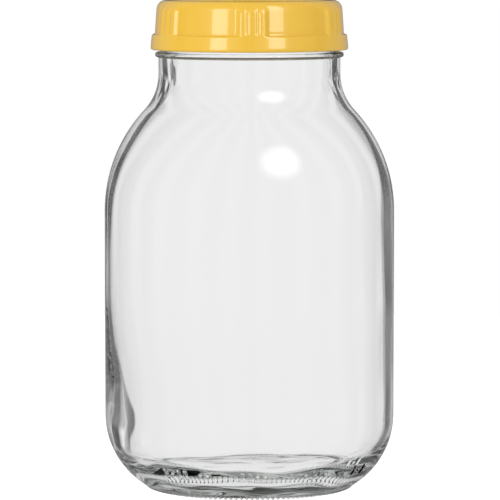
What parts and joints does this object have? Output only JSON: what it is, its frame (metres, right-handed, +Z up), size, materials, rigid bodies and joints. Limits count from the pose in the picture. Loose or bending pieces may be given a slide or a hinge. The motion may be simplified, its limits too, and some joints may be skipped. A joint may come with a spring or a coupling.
{
  "type": "twist-off jar",
  "caption": "Tall round glass jar with a wide neck, sloping shoulders and a rounded heel, closed by a yellow pressed-metal twist-off cap with ribbed grips.",
  "frame": {"origin": "on the jar's axis, at the level of the narrow base ring that it stands on", "axes": "+Z up along the jar's axis, from the base to the cap; +X and +Y across the jar, with one group of grip ribs facing nearly along -Y"},
  "size_m": [0.15, 0.15, 0.253],
  "materials": {
    "clear_glass": "polished",
    "yellow_lacquer": "gloss"
  },
  "bodies": {
    "root": {"jar": "clear_glass", "cap": "yellow_lacquer"}
  },
  "joints": []
}
